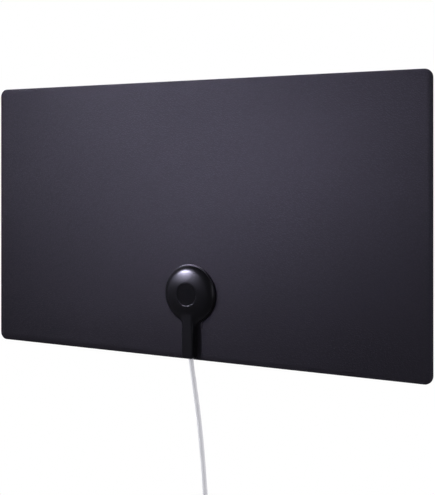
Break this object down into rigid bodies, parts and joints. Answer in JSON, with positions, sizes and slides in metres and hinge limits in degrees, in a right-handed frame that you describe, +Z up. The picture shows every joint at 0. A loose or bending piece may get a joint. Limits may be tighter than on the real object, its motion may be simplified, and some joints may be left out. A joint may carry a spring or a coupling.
{
  "type": "indoor tv antenna",
  "caption": "Thin black rectangular sheet antenna for a wall, with a low dome-and-stem housing on its front and a coaxial cord that ends in a push-fit plug.",
  "frame": {"origin": "centre of the sheet's back face, which lies against the wall", "axes": "+X along the sheet's width, to the right seen from the front; +Z up; +Y into the wall, so the front looks towards -Y"},
  "size_m": [0.43, 0.0215, 0.462],
  "materials": {
    "film_front": "calendered film with a fine leather grain, satin",
    "film_rear": "smooth film, matt",
    "foil": "rolled foil",
    "adhesive": "soft acrylic tape",
    "shell_black": "moulded, satin",
    "medallion_black": "moulded, fine eggshell",
    "screw_zinc": "zinc plated",
    "board_green": "glass epoxy under solder resist",
    "ferrite": "sintered, matt",
    "copper_wire": "enamelled",
    "chip_ceramic": "fired ceramic",
    "rivet_brass": "bright",
    "cord_pvc": "soft extruded jacket, satin",
    "braid_tin": "tinned braid",
    "dielectric_white": "foamed polyethylene",
    "clamp_nylon": "moulded nylon",
    "tie_black": "moulded nylon strap",
    "plug_pvc": "moulded over the plug, satin",
    "plug_nickel": "nickel plated",
    "pin_brass": "bright turned"
  },
  "bodies": {
    "root": {"front_sheet": "film_front", "rear_sheet": "film_rear", "element_left": "foil", "element_right": "foil", "base_pad": "adhesive", "housing_base": "shell_black", "housing_cover": "shell_black", "medallion": "medallion_black", "cover_screws": "screw_zinc", "circuit_board": "board_green", "balun_core": "ferrite", "balun_winding": "copper_wire", "chip_parts": "chip_ceramic", "feed_rivet_left": "rivet_brass", "feed_rivet_right": "rivet_brass", "lead_jacket": "cord_pvc", "lead_braid": "braid_tin", "lead_core": "dielectric_white", "lead_wire": "copper_wire", "cord_clamp": "clamp_nylon", "clamp_screws": "screw_zinc", "antenna_cord": "cord_pvc", "cord_coil": "cord_pvc", "cord_tie": "tie_black", "plug_cord": "cord_pvc", "plug_grip": "plug_pvc", "plug_insulator": "dielectric_white", "plug_sleeve": "plug_nickel", "plug_pin": "pin_brass"}
  },
  "joints": []
}
